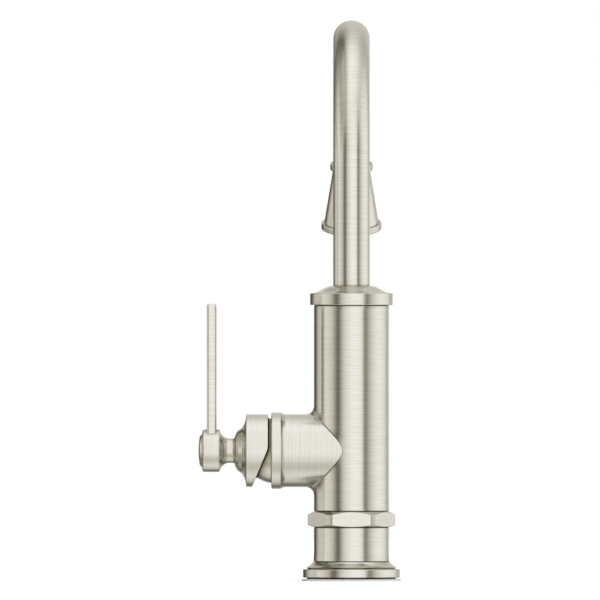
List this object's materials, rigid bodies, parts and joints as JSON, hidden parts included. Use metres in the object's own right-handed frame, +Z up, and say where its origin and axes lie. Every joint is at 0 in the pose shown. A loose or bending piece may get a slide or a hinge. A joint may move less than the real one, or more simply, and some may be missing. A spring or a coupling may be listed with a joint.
{
  "type": "gooseneck bar faucet",
  "caption": "Single-lever gooseneck bar faucet with a swivelling spout, a hex collar, a round base flange and a bell-shaped aerator outlet.",
  "frame": {"origin": "centre of the gasket's underside, where the faucet stands on the deck", "axes": "+Z up along the body, +Y towards the spout's outlet, -X towards the lever"},
  "size_m": [0.1235, 0.2141, 0.3427],
  "materials": {
    "satin_nickel": "brushed nickel plate on brass",
    "brass": "machined",
    "stainless_steel": "plain",
    "chrome_plate": "bright chrome plate on brass",
    "seal_rubber": "moulded",
    "ceramic": "lapped alumina",
    "grey_plastic": "moulded",
    "white_plastic": "moulded",
    "clear_vinyl": "clear, slightly blue vinyl"
  },
  "bodies": {
    "root": {"deck_gasket": "clear_vinyl", "base_flange": "satin_nickel", "pedestal": "satin_nickel", "hex_collar": "satin_nickel", "body_shell": "satin_nickel", "waterway_core": "brass", "seat_adapter": "brass", "seat_seals": "seal_rubber", "riser_tube": "stainless_steel", "riser_seals": "seal_rubber", "spout_socket": "brass", "lower_bearing_washer": "white_plastic", "upper_bearing_washer": "white_plastic", "top_cap": "satin_nickel", "cartridge_base": "grey_plastic", "inlet_seals": "seal_rubber", "cartridge_housing": "grey_plastic", "fixed_disc": "ceramic", "cartridge_nut": "brass", "dome_cap": "satin_nickel", "trim_ring": "satin_nickel"},
    "spout": {"spout_shank": "brass", "spout_seals": "seal_rubber", "spout_tube": "satin_nickel", "spout_nipple": "brass", "spout_end_ring": "satin_nickel", "spout_bell": "satin_nickel", "aerator_housing": "chrome_plate", "aerator_insert": "white_plastic", "aerator_washer": "seal_rubber"},
    "cartridge_rotor": {"rotor": "white_plastic", "lever_pin": "stainless_steel"},
    "handle": {"stem": "stainless_steel", "handle_bell": "satin_nickel", "set_screw": "stainless_steel", "lever_hub": "satin_nickel", "lever_bar": "satin_nickel", "handle_screw": "stainless_steel", "hub_cap": "satin_nickel"},
    "slider": {"moving_disc": "ceramic", "disc_carrier": "white_plastic"}
  },
  "joints": [
    {"name": "spout_swivel", "type": "hinge", "parent": "root", "child": "spout", "pos_m": [0, 0, 0.147], "axis": [0, 0, 1], "continuous": true},
    {"name": "handle_turn", "type": "hinge", "parent": "root", "child": "cartridge_rotor", "pos_m": [-0.0463, 0, 0.0795], "axis": [1, 0, 0], "range_deg": [-45, 45]},
    {"name": "handle_tilt", "type": "hinge", "parent": "cartridge_rotor", "child": "handle", "pos_m": [-0.0463, 0, 0.0795], "axis": [0, -1, 0], "range_deg": [0, 25]},
    {"name": "disc_slide", "type": "slide", "parent": "cartridge_rotor", "child": "slider", "axis": [0, 0, 1], "range_m": [0, 0.0035]}
  ],
  "couplings": [
    {"joint": "disc_slide", "follows": "handle_tilt", "m_per_rad": 0.008}
  ]
}
